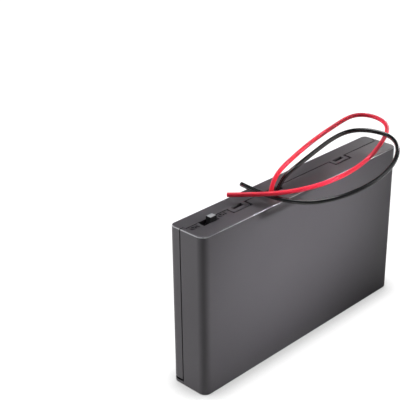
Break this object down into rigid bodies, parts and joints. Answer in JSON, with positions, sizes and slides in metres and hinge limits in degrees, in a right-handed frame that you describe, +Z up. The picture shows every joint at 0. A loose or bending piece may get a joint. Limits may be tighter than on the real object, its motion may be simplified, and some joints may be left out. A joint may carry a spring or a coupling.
{
  "type": "battery holder",
  "caption": "Flat battery box with cell bays side by side, a swing-open snap cover, a small slide switch and a red and a black lead.",
  "frame": {"origin": "middle of the underside of the narrow bottom wall that the box stands on", "axes": "+X along the row of cells towards the end away from the switch, +Y towards the cover, +Z up"},
  "size_m": [0.1267, 0.0473, 0.0838],
  "materials": {
    "case_plastic": "fine satin texture",
    "switch_plastic": "satin",
    "knob_plastic": "satin",
    "switch_board": "plain board",
    "contact_metal": "nickel plated sheet",
    "spring_wire": "nickel plated wire",
    "solder": "bright",
    "red_sleeve": "smooth",
    "black_sleeve": "smooth"
  },
  "bodies": {
    "tray": {"black_lead": "black_sleeve", "black_lead_inside": "black_sleeve", "body_tray": "case_plastic", "cell_spring_1": "spring_wire", "cell_spring_2": "spring_wire", "cell_spring_3": "spring_wire", "cell_spring_4": "spring_wire", "cell_spring_5": "spring_wire", "cell_spring_6": "spring_wire", "cell_spring_7": "spring_wire", "cell_spring_8": "spring_wire", "link_plate_1": "contact_metal", "link_plate_2": "contact_metal", "link_plate_3": "contact_metal", "link_plate_4": "contact_metal", "link_plate_5": "contact_metal", "link_plate_6": "contact_metal", "link_plate_7": "contact_metal", "minus_end_plate": "contact_metal", "plus_end_plate": "contact_metal", "red_lead": "red_sleeve", "red_lead_inside": "red_sleeve", "solder_minus_plate": "solder", "solder_plus_plate": "solder", "solder_red_lead": "solder", "solder_switch_wire": "solder", "switch_base": "switch_board", "switch_case": "switch_plastic", "switch_pin_1": "contact_metal", "switch_pin_2": "contact_metal", "switch_pin_3": "contact_metal", "switch_wire": "red_sleeve"},
    "cover": {"cover": "case_plastic"},
    "slider": {"switch_contact": "contact_metal", "switch_slider": "knob_plastic"}
  },
  "joints": [
    {"name": "cover_hinge", "type": "hinge", "parent": "tray", "child": "cover", "pos_m": [0, 0.008, 0.0032], "axis": [-1, 0, 0], "range_deg": [0, 50]},
    {"name": "switch_slide", "type": "slide", "parent": "tray", "child": "slider", "axis": [-1, 0, 0], "range_m": [0, 0.0025]}
  ]
}
